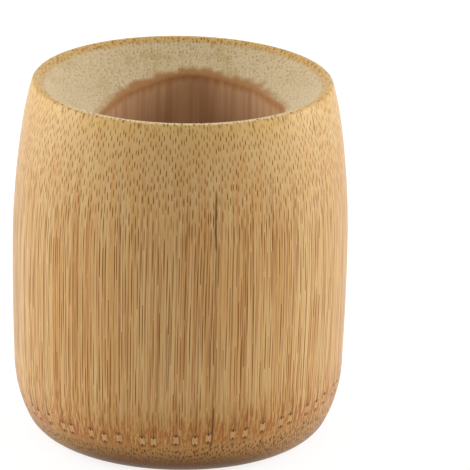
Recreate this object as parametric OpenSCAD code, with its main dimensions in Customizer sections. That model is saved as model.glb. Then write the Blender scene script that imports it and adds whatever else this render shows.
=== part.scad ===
// Small cup turned from one length of natural bamboo culm, standing on its foot.
// The node of the culm closes the bottom, and the hollow above it holds the drink.
// Origin at the middle of the foot, +Z up, millimetres.

/* [Barrel outline] */
// Height of the cup from the foot to the top of the lip
cup_h = 65; // [62:0.5:70]
// Diameter at the widest place, the belly
belly_d = 60; // [56:0.5:68]
// Radius of the arc that rises from the belly to the shoulder
shoulder_arc = 156; // [130:1:185]
// Slope of the side where the shoulder arc ends, degrees from upright
shoulder_turn = 8.3; // [6:0.1:9.5]
// Radius of the arc that draws the side in to the lip
crown_arc = 61; // [50:1:90]
// Radius of the long arc that falls from the belly to the heel
flank_arc = 570; // [480:5:640]
// Slope of the side where the flank arc ends, degrees from upright
flank_turn = 2.2; // [1.8:0.1:2.4]
// Radius of the arc round the heel
heel_arc = 24; // [21:0.5:27]
// Slope of the side where the heel arc ends, degrees from upright
heel_turn = 26; // [23:0.5:30]
// Radius of the tighter arc that rolls under to the foot
toe_arc = 5.8; // [4.5:0.1:7]
// Slope where the toe meets the flat of the foot, degrees from upright
toe_turn = 69; // [60:1:80]

/* [Lip and flare] */
// Radius of the rounded lip
lip_r = 0.9; // [0.6:0.05:1.3]
// Radius of the hollow sweep from the lip down to the cavity
flare_arc = 45; // [38:1:60]
// Slope of the flare just inside the lip, degrees from level
flare_turn = 40; // [34:1:46]

/* [Cavity] */
// Thickness of the wall at the belly, from the side to the mean edge of the natural hollow
wall_t = 14; // [13:0.1:16]
// Place of the hollow across the cup, off the turning axis
cavity_x = 1.5; // [-2:0.1:2]
// Place of the hollow from front to back, off the turning axis
cavity_y = 1.5; // [-2:0.1:2]
// Height of the three soft lobes of the hollow
lobe = 0.85; // [0:0.05:1]
// Height of the small ripples between the lobes
ripple = 0.16; // [0:0.01:0.25]
// Thickness of the brown pith skin that lines the hollow
pith_t = 1.3; // [0.8:0.1:1.8]

/* [Node and foot] */
// Height of the floor inside the cup, at its middle
floor_z = 8; // [7:0.1:10]
// Radius of the shallow dish of the floor
floor_arc = 55; // [45:1:90]
// Radius of the fillet between the floor and the side of the hollow
floor_fillet = 4.5; // [3:0.1:6]
// Depth of the recess under the node
recess_h = 3.5; // [2.5:0.1:4.5]
// Mean diameter of the recess under the node
recess_d = 28; // [25:0.2:30]
// Rise of the node's underside at the middle of the recess
recess_crown = 1.1; // [0.5:0.1:2]
// Thickness of the pith skin round the recess
recess_pith_t = 1; // [0.6:0.1:1.4]
// How far that skin stays up from the foot
recess_pith_gap = 0.3; // [0.2:0.05:0.8]

/* [Strand ends round the node] */
// Number of strand ends that show round the node
trace_count = 56; // [40:1:60]
// Height of the ring of strand ends
trace_z = 7.9; // [7:0.1:9]
// Rise of the ring towards the bud side of the culm
trace_tilt = 1.8; // [0:0.1:2]
// Extra rise of the ring at the bud side and at the side facing it
trace_wave = 0.6; // [0:0.05:0.8]
// How far single strand ends stray up and down from the ring
trace_stray = 0.2; // [0:0.05:0.4]
// Width of one strand end
trace_w = 1.15; // [0.8:0.05:1.4]
// Height of one strand end
trace_h = 2.5; // [2.2:0.05:2.8]
// How deep one strand end reaches into the wall
trace_t = 1.2; // [1.1:0.05:2]
// Diameter of the two pores in a strand end
pore_d = 0.38; // [0.3:0.02:0.5]
// Distance between the two pores
pore_gap = 1.6; // [1:0.05:1.8]
// Depth of a pore
pore_t = 0.6; // [0.3:0.05:0.75]

/* [Hidden] */

// How far a cut runs past the face that it opens
overrun = 1;
// Spare radius that keeps the fillet of the floor outside the lobes of the hollow
fillet_spare = 0.2;
// Segments round the turned faces
$fn = 180;
// Points round the outline of a hollow
outline_points = 96;
// How many lobes and how many ripples go round the hollow
lobe_count = 3;
ripple_count = 7;
// Where the first lobe of each hollow points, in degrees
lobe_turn = 93;
recess_lobe_turn = 75;
// Shares of the upper hollow's offset and of its unevenness that the recess has
recess_offset_share = 0.4;
recess_uneven_share = 0.6;
// Share of the pitch by which a strand end strays sideways, and the step that scatters them
trace_jitter_share = 0.2;
trace_scatter_turn = 137.5;

// The arcs of the side share a tangent where they meet, so each centre lies on the last one's radius.
belly_r = belly_d / 2;
flank_rise = flank_arc * sin(flank_turn);
heel_rise = heel_arc * (sin(heel_turn) - sin(flank_turn));
toe_rise = toe_arc * (sin(toe_turn) - sin(heel_turn));
belly_z = flank_rise + heel_rise + toe_rise;
shoulder_c = [belly_r - shoulder_arc, belly_z];
crown_c = shoulder_c + (shoulder_arc - crown_arc) * [cos(shoulder_turn), sin(shoulder_turn)];
flank_c = [belly_r - flank_arc, belly_z];
heel_c = flank_c + (flank_arc - heel_arc) * [cos(flank_turn), -sin(flank_turn)];
toe_c = heel_c + (heel_arc - toe_arc) * [cos(heel_turn), -sin(heel_turn)];
foot_r = toe_c[0] + toe_arc * cos(toe_turn);

// The lip is a small circle inside the crown arc that touches the top of the cup.
lip_turn = asin((cup_h - lip_r - crown_c[1]) / (crown_arc - lip_r));
lip_c = crown_c + (crown_arc - lip_r) * [cos(lip_turn), sin(lip_turn)];
flare_c = lip_c + (lip_r + flare_arc) * [-sin(flare_turn), cos(flare_turn)];
flare_end = -acos(-flare_c[0] / flare_arc);

// Reach of the two hollows from their own middles
cavity_r = belly_r - wall_t;
cavity_reach = cavity_r + lobe + ripple + fillet_spare;
recess_r = recess_d / 2;
crown_reach = recess_r - recess_pith_t - (lobe + ripple) * recess_uneven_share;

// The floor is a shallow dish with a fillet that turns upright at the side of the hollow.
floor_turn = asin((cavity_reach - floor_fillet) / (floor_arc - floor_fillet));
floor_c = [0, floor_z + floor_arc];
fillet_c = floor_c + (floor_arc - floor_fillet) * [sin(floor_turn), -cos(floor_turn)];
rim_z = fillet_c[1];

// Radius of the sphere that hollows the underside of the node
recess_sphere_r = (pow(crown_reach, 2) + pow(recess_crown, 2)) / (2 * recess_crown);

// One point of a circle round a centre
function on_arc(centre, radius, angle) = centre + radius * [cos(angle), sin(angle)];

// Points along an arc, without its two ends
function arc(centre, radius, from, to, steps) = [
    for (i = [1:steps - 1]) on_arc(centre, radius, from + (to - from) * i / steps)
];

// Half outline of the cup as it comes off the lathe, from the foot round to the middle of the flare
barrel_outline = concat(
    [[0, 0], [foot_r, 0]],
    arc(toe_c, toe_arc, -toe_turn, -heel_turn, 6),
    [on_arc(heel_c, heel_arc, -heel_turn)],
    arc(heel_c, heel_arc, -heel_turn, -flank_turn, 8),
    [on_arc(flank_c, flank_arc, -flank_turn)],
    arc(flank_c, flank_arc, -flank_turn, 0, 4),
    [[belly_r, belly_z]],
    arc(shoulder_c, shoulder_arc, 0, shoulder_turn, 6),
    [on_arc(crown_c, crown_arc, shoulder_turn)],
    arc(crown_c, crown_arc, shoulder_turn, lip_turn, 4),
    [on_arc(lip_c, lip_r, lip_turn)],
    arc(lip_c, lip_r, lip_turn, 90 + flare_turn, 8),
    [on_arc(flare_c, flare_arc, flare_turn - 90)],
    arc(flare_c, flare_arc, flare_turn - 90, flare_end, 12),
    [[0, flare_c[1] + flare_arc * sin(flare_end)]]
);

// Half outline of the space over the floor
floor_outline = concat(
    [[0, rim_z + overrun], [0, floor_z]],
    arc(floor_c, floor_arc, -90, floor_turn - 90, 5),
    [on_arc(fillet_c, floor_fillet, floor_turn - 90)],
    arc(fillet_c, floor_fillet, floor_turn - 90, 0, 6),
    [[cavity_reach, rim_z], [cavity_reach, rim_z + overrun]]
);

// Radius of the turned side at a height below the belly
function side_radius(z) =
    z > heel_rise + toe_rise ? flank_c[0] + sqrt(pow(flank_arc, 2) - pow(z - flank_c[1], 2)) :
    z > toe_rise ? heel_c[0] + sqrt(pow(heel_arc, 2) - pow(z - heel_c[1], 2)) :
    toe_c[0] + sqrt(pow(toe_arc, 2) - pow(z - toe_c[1], 2));

// Closed outline of a natural hollow: a circle with soft lobes and small ripples
function hollow_outline(radius, turn, uneven_share) = [
    for (i = [0:outline_points - 1])
        let (a = 360 * i / outline_points)
        let (wave = lobe * cos(lobe_count * (a - turn)) + ripple * cos(ripple_count * (a - turn)))
        (radius + wave * uneven_share) * [cos(a), sin(a)]
];

// Direction and height of a strand end: the ring is tilted, and each end strays a little
function trace_angle(i) = 360 / trace_count * (i + trace_jitter_share * sin(i * trace_scatter_turn));
function trace_height(i) =
    let (a = trace_angle(i))
    trace_z + trace_tilt * cos(a) + trace_wave * cos(2 * a) + trace_stray * cos(i * trace_scatter_turn);

// The cup as it comes off the lathe, before the natural hollows are taken out
module turned_barrel() {
    rotate_extrude() polygon(barrel_outline);
}

// Upright prism in the shape of the hollow above the node
module cavity_prism(extra, bottom, top) {
    translate([cavity_x, cavity_y, bottom])
        linear_extrude(top - bottom)
            polygon(hollow_outline(cavity_r + extra, lobe_turn, 1));
}

// Upright prism in the shape of the smaller hollow below the node
module recess_prism(extra, bottom, top) {
    translate([cavity_x * recess_offset_share, cavity_y * recess_offset_share, bottom])
        linear_extrude(top - bottom)
            polygon(hollow_outline(recess_r + extra, recess_lobe_turn, recess_uneven_share));
}

// Space over the floor: the dish and its fillet, kept within the side of the hollow
module floor_space() {
    intersection() {
        translate([cavity_x, cavity_y, 0])
            rotate_extrude() polygon(floor_outline);
        cavity_prism(0, floor_z - overrun, rim_z + overrun);
    }
}

// Oval cross-section of a strand end, long way along X
module strand_oval() {
    side = trace_h - trace_w;
    square([side, trace_w], center = true);
    for (end = [-1, 1])
        translate([end * side / 2, 0]) circle(d = trace_w);
}

// Every strand end as a plug that runs out past the side of the cup
module strand_plugs() {
    for (i = [0:trace_count - 1]) {
        z = trace_height(i);
        rotate(trace_angle(i))
            translate([side_radius(z) - trace_t, 0, z])
                rotate([0, 90, 0])
                    linear_extrude(trace_t + overrun) strand_oval();
    }
}

// The two open pores of every strand end
module strand_pores() {
    for (i = [0:trace_count - 1])
        for (side = [-1, 1]) {
            z = trace_height(i) + side * pore_gap / 2;
            rotate(trace_angle(i))
                translate([side_radius(z) - pore_t, 0, z])
                    rotate([0, 90, 0])
                        cylinder(d = pore_d, h = pore_t + overrun, $fn = 24);
        }
}

// Wall of the culm: the turned barrel with its lip and flare, open for the hollows and the strands
module culm_wall() {
    color([0.82, 0.66, 0.43])
        difference() {
            turned_barrel();
            cavity_prism(pith_t, recess_h, cup_h + overrun);
            recess_prism(0, -overrun, recess_h + overrun);
            strand_plugs();
        }
}

// Brown pith skin of the hollow, cut off by the flare in a wavy edge
module pith_lining() {
    color([0.55, 0.40, 0.26])
        intersection() {
            turned_barrel();
            difference() {
                cavity_prism(pith_t, rim_z, cup_h);
                cavity_prism(0, rim_z - overrun, cup_h + overrun);
            }
        }
}

// Woody plate of the node: the floor of the cup, with its rolled edge and its hollowed underside
module node_diaphragm() {
    color([0.66, 0.50, 0.32])
        difference() {
            cavity_prism(pith_t, recess_h, rim_z);
            floor_space();
            translate([
                cavity_x * recess_offset_share,
                cavity_y * recess_offset_share,
                recess_h + recess_crown - recess_sphere_r
            ])
                sphere(r = recess_sphere_r);
        }
}

// Ends of the strands that cross the wall at the node, turned flush with the side
module node_traces() {
    color([0.74, 0.57, 0.35])
        difference() {
            intersection() {
                turned_barrel();
                strand_plugs();
            }
            strand_pores();
        }
}

// Thin pith skin round the recess under the node, clear of the surface that the cup stands on
module recess_lining() {
    color([0.60, 0.45, 0.30])
        difference() {
            recess_prism(0, recess_pith_gap, recess_h);
            recess_prism(-recess_pith_t, recess_pith_gap - overrun, recess_h + overrun);
        }
}

culm_wall();
pith_lining();
node_diaphragm();
node_traces();
recess_lining();
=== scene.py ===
"""A small cup turned from one length of bamboo culm: its looks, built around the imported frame."""

import logging
import math
from collections.abc import Callable, Iterator
from contextlib import contextmanager
from dataclasses import dataclass
from enum import Enum

import bpy
from mathutils import Matrix, Vector


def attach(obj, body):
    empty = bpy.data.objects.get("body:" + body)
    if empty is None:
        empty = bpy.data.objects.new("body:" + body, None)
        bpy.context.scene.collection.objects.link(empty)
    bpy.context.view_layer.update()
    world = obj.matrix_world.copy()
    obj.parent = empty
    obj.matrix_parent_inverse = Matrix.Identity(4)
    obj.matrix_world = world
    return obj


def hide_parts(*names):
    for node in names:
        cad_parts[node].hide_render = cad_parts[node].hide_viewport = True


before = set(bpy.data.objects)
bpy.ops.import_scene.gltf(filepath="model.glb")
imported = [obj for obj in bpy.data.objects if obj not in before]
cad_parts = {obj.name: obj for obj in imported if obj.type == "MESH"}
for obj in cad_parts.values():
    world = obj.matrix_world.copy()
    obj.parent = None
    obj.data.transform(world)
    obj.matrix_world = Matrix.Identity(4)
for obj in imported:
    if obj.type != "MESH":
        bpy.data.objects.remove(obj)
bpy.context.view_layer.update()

MM = 0.001
WELD = MM / 2000
TURNED_SEGMENTS = 256
HOLLOW_SEGMENTS = 384
PATTERN_R = 29.0  # mm, the even cylinder that the side's pattern is laid out on
LOG = logging.getLogger("bamboo_cup")

Point = tuple[float, float]
Span = tuple[float, float]
Colour = tuple[float, float, float, float]
Socket = bpy.types.NodeSocket
Feed = Socket | float | tuple
Rule = Callable[[Vector], Vector]
MapRule = Callable[[Vector, Vector, Vector], Point]


class Slot(Enum):
    """Material slots of the record."""

    WOOD = "bamboo_wood"
    PITH = "pith_skin"
    NODE = "node_wood"
    STRAND = "strand_ends"


class Cut(Enum):
    """What a cutting tool does to a piece."""

    TAKE_OUT = "DIFFERENCE"
    KEEP_INSIDE = "INTERSECT"


# Forms


def polar(centre: Point, reach: float, turn: float) -> Point:
    """Point at a distance and in a direction from another."""
    return (centre[0] + reach * math.cos(turn), centre[1] + reach * math.sin(turn))


@dataclass(frozen=True)
class Arc:
    """Part of a circle in the plane of a half outline, angles in radians."""

    centre: Point
    radius: float
    start: float
    end: float

    def points(self, steps: int) -> list[Point]:
        """Points along the arc.

        Args:
            steps: Number of equal steps.

        Returns:
            The points after the arc's start, its end included.
        """
        swing = (self.end - self.start) / steps
        turns = [self.start + swing * i for i in range(1, steps + 1)]
        return [polar(self.centre, self.radius, turn) for turn in turns]


@dataclass(frozen=True)
class Barrel:
    """Half outline of the cup as it comes off the lathe."""

    cup_h: float = 65 * MM
    belly_r: float = 30 * MM
    shoulder_arc: float = 156 * MM
    shoulder_turn: float = math.radians(8.3)
    crown_arc: float = 61 * MM
    flank_arc: float = 570 * MM
    flank_turn: float = math.radians(2.2)
    heel_arc: float = 24 * MM
    heel_turn: float = math.radians(26)
    toe_arc: float = 5.8 * MM
    toe_turn: float = math.radians(69)
    lip_r: float = 0.9 * MM
    flare_arc: float = 45 * MM
    flare_turn: float = math.radians(40)
    side_steps: tuple[int, ...] = (10, 16, 14, 18, 10, 14)
    flare_steps: int = 36

    @property
    def toe_rise(self) -> float:
        """Height at which the toe meets the heel."""
        return self.toe_arc * (math.sin(self.toe_turn) - math.sin(self.heel_turn))

    @property
    def heel_rise(self) -> float:
        """Height at which the heel meets the flank."""
        share = math.sin(self.heel_turn) - math.sin(self.flank_turn)
        return self.toe_rise + self.heel_arc * share

    @property
    def side(self) -> list[Arc]:
        """Arcs of the side.

        Returns:
            The arcs from the foot up to the lip, each tangent to the next.
        """
        belly_z = self.heel_rise + self.flank_arc * math.sin(self.flank_turn)
        shoulder = (self.belly_r - self.shoulder_arc, belly_z)
        crown = polar(shoulder, self.shoulder_arc - self.crown_arc, self.shoulder_turn)
        flank = (self.belly_r - self.flank_arc, belly_z)
        heel = polar(flank, self.flank_arc - self.heel_arc, -self.flank_turn)
        toe = polar(heel, self.heel_arc - self.toe_arc, -self.heel_turn)
        reach = self.crown_arc - self.lip_r
        lip_turn = math.asin((self.cup_h - self.lip_r - crown[1]) / reach)
        return [
            Arc(toe, self.toe_arc, -self.toe_turn, -self.heel_turn),
            Arc(heel, self.heel_arc, -self.heel_turn, -self.flank_turn),
            Arc(flank, self.flank_arc, -self.flank_turn, 0.0),
            Arc(shoulder, self.shoulder_arc, 0.0, self.shoulder_turn),
            Arc(crown, self.crown_arc, self.shoulder_turn, lip_turn),
            Arc(polar(crown, reach, lip_turn), self.lip_r, lip_turn, math.pi / 2 + self.flare_turn),
        ]

    @property
    def flare(self) -> Arc:
        """Hollow sweep of the mouth.

        Returns:
            Its arc, from the lip down to the middle of the cup.
        """
        lip = self.side[-1]
        centre = polar(lip.centre, self.lip_r + self.flare_arc, lip.end)
        bottom = -math.acos(-centre[0] / self.flare_arc)
        return Arc(centre, self.flare_arc, self.flare_turn - math.pi / 2, bottom)

    def outline(self) -> list[Point]:
        """Half outline of the solid barrel.

        Returns:
            Radius and height of each point, from the middle of the foot to the middle of the flare.
        """
        toe = self.side[0]
        points = [(0.0, 0.0), polar(toe.centre, toe.radius, toe.start)]
        for arc, steps in zip(self.side, self.side_steps):
            points += arc.points(steps)
        points += self.flare.points(self.flare_steps)
        points[-1] = (0.0, points[-1][1])
        return points

    def side_radius(self, z: float) -> float:
        """Radius of the side at a height below the belly.

        Args:
            z: The height.

        Returns:
            The radius.
        """
        toe, heel, flank = self.side[:3]
        arc = flank if z > self.heel_rise else heel if z > self.toe_rise else toe
        return arc.centre[0] + math.sqrt(arc.radius**2 - (z - arc.centre[1]) ** 2)

    def flare_z(self, radius: float) -> float:
        """Height of the flare at a distance from the turning axis."""
        flare = self.flare
        return flare.centre[1] - math.sqrt(flare.radius**2 - (radius - flare.centre[0]) ** 2)


@dataclass(frozen=True)
class Hollow:
    """Natural hollow of the culm: a soft, lobed round that stands off the turning axis."""

    radius: float = 16 * MM
    centre: Point = (1.5 * MM, 1.5 * MM)
    turn: float = math.radians(93)
    share: float = 1.0
    lobe: float = 0.85 * MM
    ripple: float = 0.16 * MM
    ridge: float = 0.04 * MM
    lobes: int = 3
    ripples: int = 7
    ridges: tuple[int, int] = (31, 53)

    def reach(self, angle: float) -> float:
        """Distance from the hollow's middle to its mean edge at an angle.

        Args:
            angle: The angle in radians.

        Returns:
            The distance.
        """
        wave = self.lobe * math.cos(self.lobes * (angle - self.turn))
        wave += self.ripple * math.cos(self.ripples * (angle - self.turn))
        return self.radius + wave * self.share

    def fine(self, angle: float) -> float:
        """Height of the fine upright ridges at an angle.

        Args:
            angle: The angle in radians.

        Returns:
            The height, over or under 0.
        """
        first, second = self.ridges
        slow = 0.55 + 0.45 * math.sin(3 * angle + 1)
        wave = slow * math.cos(first * angle) + (1.3 - slow) * math.cos(second * angle + 2)
        return self.ridge * wave

    def spot(self, reach: float, angle: float, z: float) -> Vector:
        """Point at a distance and an angle from the hollow's middle, and at a height."""
        return Vector((*polar(self.centre, reach, angle), z))

    def from_middle(self, at: Vector) -> Vector:
        """A place as seen from the hollow's middle."""
        return at - Vector((*self.centre, 0.0))


@dataclass(frozen=True)
class StrandRing:
    """Ring of strand ends that cross the wall at the node."""

    count: int = 56
    height: float = 7.9 * MM
    tilt: float = 1.8 * MM
    wave: float = 0.6 * MM
    stray: float = 0.2 * MM
    width: float = 1.15 * MM
    length: float = 2.5 * MM
    depth: float = 1.2 * MM
    pore_d: float = 0.38 * MM
    pore_gap: float = 1.6 * MM
    pore_t: float = 0.6 * MM
    jitter: float = 0.2
    scatter: float = math.radians(137.5)

    @property
    def half(self) -> float:
        """Half of a strand end's straight length."""
        return (self.length - self.width) / 2

    def angle(self, i: int) -> float:
        """Direction of a strand end."""
        return math.tau / self.count * (i + self.jitter * math.sin(i * self.scatter))

    def z(self, i: int) -> float:
        """Height of a strand end.

        Args:
            i: Number of the strand end.

        Returns:
            The height.
        """
        a = self.angle(i)
        even = self.height + self.tilt * math.cos(a) + self.wave * math.cos(2 * a)
        return even + self.stray * math.cos(i * self.scatter)

    def place(self, i: int, out: float, z: float) -> Matrix:
        """Where a form goes that lies out along a strand end's direction, at a height."""
        return Matrix.Rotation(self.angle(i), 4, "Z") @ Matrix.Translation((out, 0, z))


@dataclass(frozen=True)
class Foot:
    """Sizes of the node and of the recess under it."""

    pith_t: float = 1.3 * MM
    floor_z: float = 8 * MM
    floor_arc: float = 55 * MM
    floor_fillet: float = 4.5 * MM
    fillet_spare: float = 0.2 * MM
    recess_h: float = 3.5 * MM
    recess_crown: float = 1.1 * MM
    recess_pith_t: float = 1 * MM
    recess_pith_gap: float = 0.3 * MM


BARREL = Barrel()
CAVITY = Hollow()
RECESS = Hollow(radius=14 * MM, centre=(0.6 * MM, 0.6 * MM), turn=math.radians(75), share=0.6)
RING = StrandRing()
FOOT = Foot()


@dataclass(frozen=True)
class Strip:
    """Band of a map that a stretch of a piece is laid out in."""

    low: float
    high: float
    start: float
    end: float

    def at(self, measure: float) -> float:
        """Place across the band of a measure between start and end."""
        return self.low + (self.high - self.low) * (measure - self.start) / (self.end - self.start)


# Modelling


class Bench:
    """Moves that the making of every piece shares."""

    @staticmethod
    def clear() -> None:
        """Deselects every object."""
        bpy.ops.object.select_all(action="DESELECT")

    @staticmethod
    def pick(piece: bpy.types.Object) -> None:
        """Makes a piece the one selected and active object.

        Args:
            piece: The piece.
        """
        Bench.clear()
        piece.select_set(True)
        bpy.context.view_layer.objects.active = piece

    @staticmethod
    @contextmanager
    def editing(piece: bpy.types.Object) -> Iterator[None]:
        """Opens a piece in edit mode with all of it selected, and closes it after.

        Args:
            piece: The piece that is edited.

        Yields:
            Nothing, while the piece is open.
        """
        Bench.pick(piece)
        bpy.ops.object.mode_set(mode="EDIT")
        bpy.ops.mesh.select_all(action="SELECT")
        yield
        bpy.ops.object.mode_set(mode="OBJECT")

    @staticmethod
    def weld() -> None:
        """Merges the doubles of the mesh in edit mode and leaves all of it selected."""
        bpy.ops.mesh.select_all(action="SELECT")
        bpy.ops.mesh.remove_doubles(threshold=WELD)
        bpy.ops.mesh.select_all(action="SELECT")

    @staticmethod
    def lathe(
        name: str, points: list[Point], segments: int, closed: bool = False
    ) -> bpy.types.Object:
        """Turns a half outline about the upright axis.

        Args:
            name: Name of the new piece.
            points: Radius and height of each point of the outline.
            segments: Number of steps round.
            closed: Whether the last point joins the first.

        Returns:
            The turned piece, with its faces outwards.
        """
        Bench.clear()
        bpy.ops.mesh.primitive_plane_add(size=MM, location=(0, 0, 0))
        piece = bpy.context.object
        piece.name = name
        with Bench.editing(piece):
            bpy.ops.mesh.merge(type="CENTER")
            bpy.ops.transform.translate(value=(points[0][0], 0, points[0][1]))
            route = points + points[:1] if closed else points
            for (r0, z0), (r1, z1) in zip(route, route[1:]):
                step = {"value": (r1 - r0, 0, z1 - z0)}
                bpy.ops.mesh.extrude_region_move(TRANSFORM_OT_translate=step)
            Bench.weld()
            bpy.ops.mesh.spin(steps=segments, angle=math.tau, center=(0, 0, 0), axis=(0, 0, 1))
            Bench.weld()
            bpy.ops.mesh.normals_make_consistent(inside=False)
        return piece

    @staticmethod
    def settle(piece: bpy.types.Object, rule: Rule) -> None:
        """Moves every vertex to the place that a rule of the natural form gives it.

        Args:
            piece: The piece to move.
            rule: Takes a vertex's place and returns the new one.
        """
        for vertex in piece.data.vertices:
            vertex.co = rule(vertex.co.copy())
        piece.data.update()

    @staticmethod
    def natural(name: str, points: list[Point], rule: Rule, closed: bool) -> bpy.types.Object:
        """Turns a half outline and gives it its natural, lobed form.

        Args:
            name: Name of the new piece.
            points: Radius and height of each point of the outline.
            rule: Takes a vertex's place on the turned form and returns the new one.
            closed: Whether the last point joins the first.

        Returns:
            The piece, with its faces outwards.
        """
        piece = Bench.lathe(name, points, HOLLOW_SEGMENTS, closed)
        Bench.settle(piece, rule)
        with Bench.editing(piece):
            Bench.weld()
            bpy.ops.mesh.normals_make_consistent(inside=False)
        return piece

    @staticmethod
    def rod(sides: int, radius: float, length: float) -> bpy.types.Object:
        """Makes a round rod about the upright axis, its middle at the origin.

        Args:
            sides: Number of its sides.
            radius: Its radius.
            length: Its length.

        Returns:
            The rod.
        """
        Bench.clear()
        bpy.ops.mesh.primitive_cylinder_add(
            vertices=sides, radius=radius, depth=length, location=(0, 0, 0)
        )
        return bpy.context.object

    @staticmethod
    def cut(piece: bpy.types.Object, tool: bpy.types.Object, how: Cut, keep: bool = False) -> None:
        """Cuts a piece with a tool.

        Args:
            piece: The piece that is cut.
            tool: The closed form that cuts it.
            how: Whether the tool's space is taken out or kept.
            keep: Whether the tool stays for later.
        """
        Bench.pick(piece)
        step = piece.modifiers.new("cut", "BOOLEAN")
        step.operation = how.value
        step.object = tool
        step.solver = "EXACT"
        bpy.ops.object.modifier_apply(modifier=step.name)
        if not keep:
            bpy.data.objects.remove(tool)

    @staticmethod
    def copies(piece: bpy.types.Object, places: list[Matrix]) -> bpy.types.Object:
        """Sets a copy of a piece at each place and joins them.

        Args:
            piece: The piece that repeats. It is used up.
            places: Where each copy goes.

        Returns:
            The joined piece, at the origin.
        """
        made = []
        for place in places:
            one = piece.copy()
            one.data = piece.data.copy()
            bpy.context.collection.objects.link(one)
            one.data.transform(place)
            made.append(one)
        Bench.clear()
        for one in made:
            one.select_set(True)
        bpy.context.view_layer.objects.active = made[0]
        bpy.ops.object.join()
        bpy.data.objects.remove(piece)
        return bpy.context.object

    @staticmethod
    def finish(piece: bpy.types.Object, edge: float, look: bpy.types.Material) -> None:
        """Shades a piece smooth and gives it its look.

        Args:
            piece: The piece.
            edge: Angle in degrees over which an edge stays sharp.
            look: The piece's material.
        """
        Bench.pick(piece)
        bpy.ops.object.shade_smooth_by_angle(angle=math.radians(edge))
        piece.data.materials.clear()
        piece.data.materials.append(look)

    @staticmethod
    def lay_map(piece: bpy.types.Object, rule: MapRule) -> None:
        """Gives a piece a UV map on which its finish can be kept sharp.

        Args:
            piece: The piece.
            rule: Gives the place on the map from a face's middle and normal and a corner's place.
        """
        mesh = piece.data
        layer = mesh.uv_layers.new(name="OFBake")
        for face in mesh.polygons:
            for i in face.loop_indices:
                corner = mesh.vertices[mesh.loops[i].vertex_index].co
                place = rule(face.center, face.normal, corner)
                layer.data[i].uv = [min(max(share, 0.001), 0.999) for share in place]

    @staticmethod
    def round_share(middle: Vector, corner: Vector, start: float, turn: float) -> float:
        """How far round a corner lies, as a share of a turn, on its face's side of the seam.

        Args:
            middle: Middle of the corner's face.
            corner: Place of the corner.
            start: Direction in which the count starts.
            turn: The turn that counts as 1.

        Returns:
            The share.
        """
        face = math.atan2(middle.y, middle.x)
        off = (math.atan2(corner.y, corner.x) - face + math.pi) % math.tau - math.pi
        return ((face - start) % math.tau + off) / turn


# Drawing of materials


def paint(*channels: float) -> Colour:
    """Turns a colour as seen on a screen into the linear one that a shader takes.

    Args:
        *channels: Red, green and blue from 0 to 255.

    Returns:
        Linear red, green and blue, and full opacity.
    """
    shares = [channel / 255 for channel in channels]
    linear = [s / 12.92 if s <= 0.04045 else ((s + 0.055) / 1.055) ** 2.4 for s in shares]
    return (*linear, 1.0)


@dataclass(frozen=True)
class Gloss:
    """How a surface shines."""

    rough: float
    specular: float
    coat: float = 0.0
    coat_rough: float = 0.3


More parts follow.
